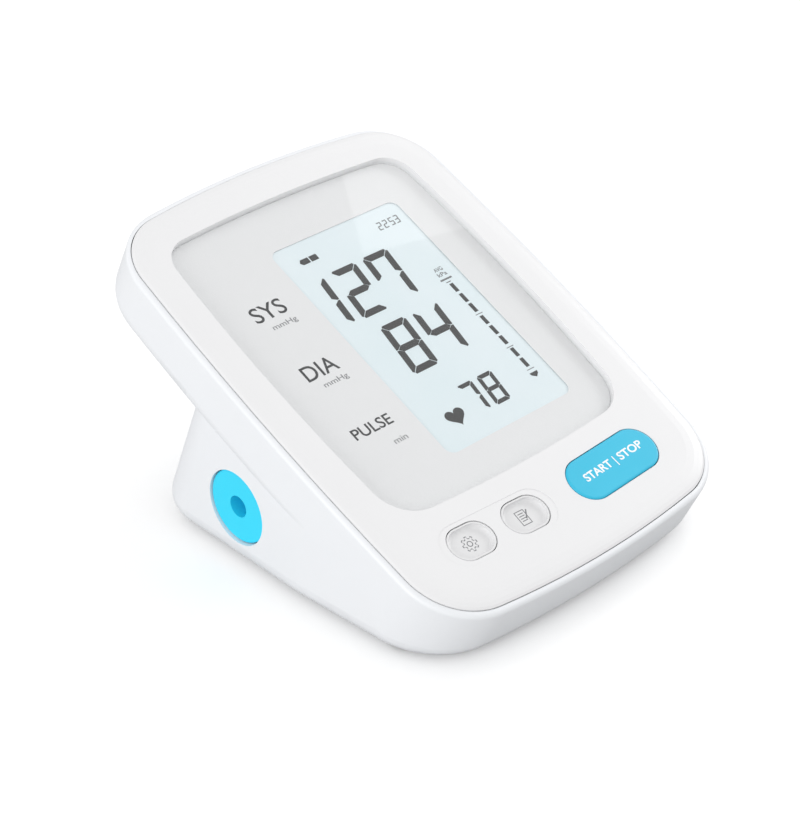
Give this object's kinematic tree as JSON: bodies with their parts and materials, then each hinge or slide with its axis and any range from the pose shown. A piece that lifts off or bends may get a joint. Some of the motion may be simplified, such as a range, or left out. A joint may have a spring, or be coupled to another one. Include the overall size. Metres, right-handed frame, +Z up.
{
  "type": "upper arm blood pressure monitor",
  "caption": "Desktop blood pressure monitor with a tilted display face, a start key, small keys, a side air jack and a battery door underneath.",
  "frame": {"origin": "on the table, under the middle of the bounding box", "axes": "+X to the right of the person reading the display, +Y towards the raised rear edge, +Z up"},
  "size_m": [0.1066, 0.133, 0.075],
  "materials": {
    "housing_plastic": "satin moulded ABS, slightly cool white",
    "cover_plastic": "smooth moulded ABS, white",
    "window_clear": "clear acrylic, polished",
    "mask_print": "light grey print on clear film",
    "start_key_plastic": "bright blue, satin",
    "small_key_plastic": "light grey, satin",
    "switch_body": "black moulded",
    "switch_stem": "natural white moulded",
    "display_glass": "liquid crystal cell, pale blue",
    "light_guide": "pale blue diffusing acrylic",
    "white_frame": "white moulded",
    "elastomer": "grey elastomer",
    "circuit_board": "green solder mask",
    "chip_black": "black epoxy",
    "capacitor_metal": "aluminium can",
    "screw_steel": "nickel plated",
    "jack_plastic": "bright blue, satin",
    "silicone_hose": "translucent white silicone",
    "sensor_body": "black moulded",
    "pump_plastic": "dark moulded",
    "shaft_steel": "ground steel",
    "motor_metal": "zinc plated steel",
    "magnet_dark": "dark ferrite",
    "armature_metal": "laminated steel and winding",
    "coil_copper": "enamelled copper",
    "spring_metal": "bright nickel",
    "foot_rubber": "grey rubber",
    "cell_wrap": "plain printed foil sleeve on a metal can"
  },
  "bodies": {
    "housing": {"air_jack": "jack_plastic", "air_manifold": "white_frame", "backlight_plate": "light_guide", "battery_1": "cell_wrap", "battery_2": "cell_wrap", "battery_3": "cell_wrap", "battery_4": "cell_wrap", "battery_contacts": "spring_metal", "battery_springs": "spring_metal", "board_capacitors": "capacitor_metal", "board_screws": "screw_steel", "buzzer": "switch_body", "case_screws": "screw_steel", "controller_chip": "chip_black", "display_connector": "elastomer", "display_glass": "display_glass", "display_holder": "white_frame", "display_window": "window_clear", "front_cover": "cover_plastic", "jack_hose": "silicone_hose", "lower_housing": "housing_plastic", "main_board": "circuit_board", "memory_switch": "switch_body", "motor_can": "motor_metal", "motor_endcap": "switch_body", "motor_magnets": "magnet_dark", "pressure_sensor": "sensor_body", "pump_diaphragm": "elastomer", "pump_head": "pump_plastic", "pump_hose": "silicone_hose", "rubber_feet": "foot_rubber", "sensor_hose": "silicone_hose", "settings_switch": "switch_body", "start_switch": "switch_body", "valve_body": "pump_plastic", "valve_coil": "coil_copper", "valve_hose": "silicone_hose", "valve_spring": "spring_metal", "window_mask": "mask_print"},
    "start_key": {"start_button": "start_key_plastic"},
    "settings_key": {"settings_button": "small_key_plastic"},
    "memory_key": {"memory_button": "small_key_plastic"},
    "start_stem": {"start_switch_stem": "switch_stem"},
    "settings_stem": {"settings_switch_stem": "switch_stem"},
    "memory_stem": {"memory_switch_stem": "switch_stem"},
    "door": {"battery_door": "housing_plastic"},
    "pump_rotor": {"motor_armature": "armature_metal", "pump_eccentric": "white_frame", "pump_shaft": "shaft_steel"},
    "release_plunger": {"valve_plunger": "shaft_steel"}
  },
  "joints": [
    {"name": "start_press", "type": "slide", "parent": "housing", "child": "start_key", "axis": [0, 0.4274, -0.9041], "range_m": [0, 0.0005], "stiffness_N_per_m": 1500},
    {"name": "start_stem_press", "type": "slide", "parent": "housing", "child": "start_stem", "axis": [0, 0.4274, -0.9041], "range_m": [0, 0.0005]},
    {"name": "settings_press", "type": "slide", "parent": "housing", "child": "settings_key", "axis": [0, 0.4274, -0.9041], "range_m": [0, 0.0005], "stiffness_N_per_m": 1500},
    {"name": "settings_stem_press", "type": "slide", "parent": "housing", "child": "settings_stem", "axis": [0, 0.4274, -0.9041], "range_m": [0, 0.0005]},
    {"name": "memory_press", "type": "slide", "parent": "housing", "child": "memory_key", "axis": [0, 0.4274, -0.9041], "range_m": [0, 0.0005], "stiffness_N_per_m": 1500},
    {"name": "memory_stem_press", "type": "slide", "parent": "housing", "child": "memory_stem", "axis": [0, 0.4274, -0.9041], "range_m": [0, 0.0005]},
    {"name": "door_hinge", "type": "hinge", "parent": "housing", "child": "door", "pos_m": [0, -0.0273, 0.0017], "axis": [-1, 0, 0], "range_deg": [0, 80]},
    {"name": "pump_spin", "type": "hinge", "parent": "housing", "child": "pump_rotor", "pos_m": [0, 0.0212, 0.0312], "axis": [1, 0, 0], "continuous": true},
    {"name": "release_slide", "type": "slide", "parent": "housing", "child": "release_plunger", "axis": [-1, 0, 0], "range_m": [0, 0.0008], "stiffness_N_per_m": 300, "deforming": ["valve_spring"]}
  ],
  "couplings": [
    {"joint": "start_stem_press", "follows": "start_press", "ratio": 1},
    {"joint": "settings_stem_press", "follows": "settings_press", "ratio": 1},
    {"joint": "memory_stem_press", "follows": "memory_press", "ratio": 1}
  ]
}
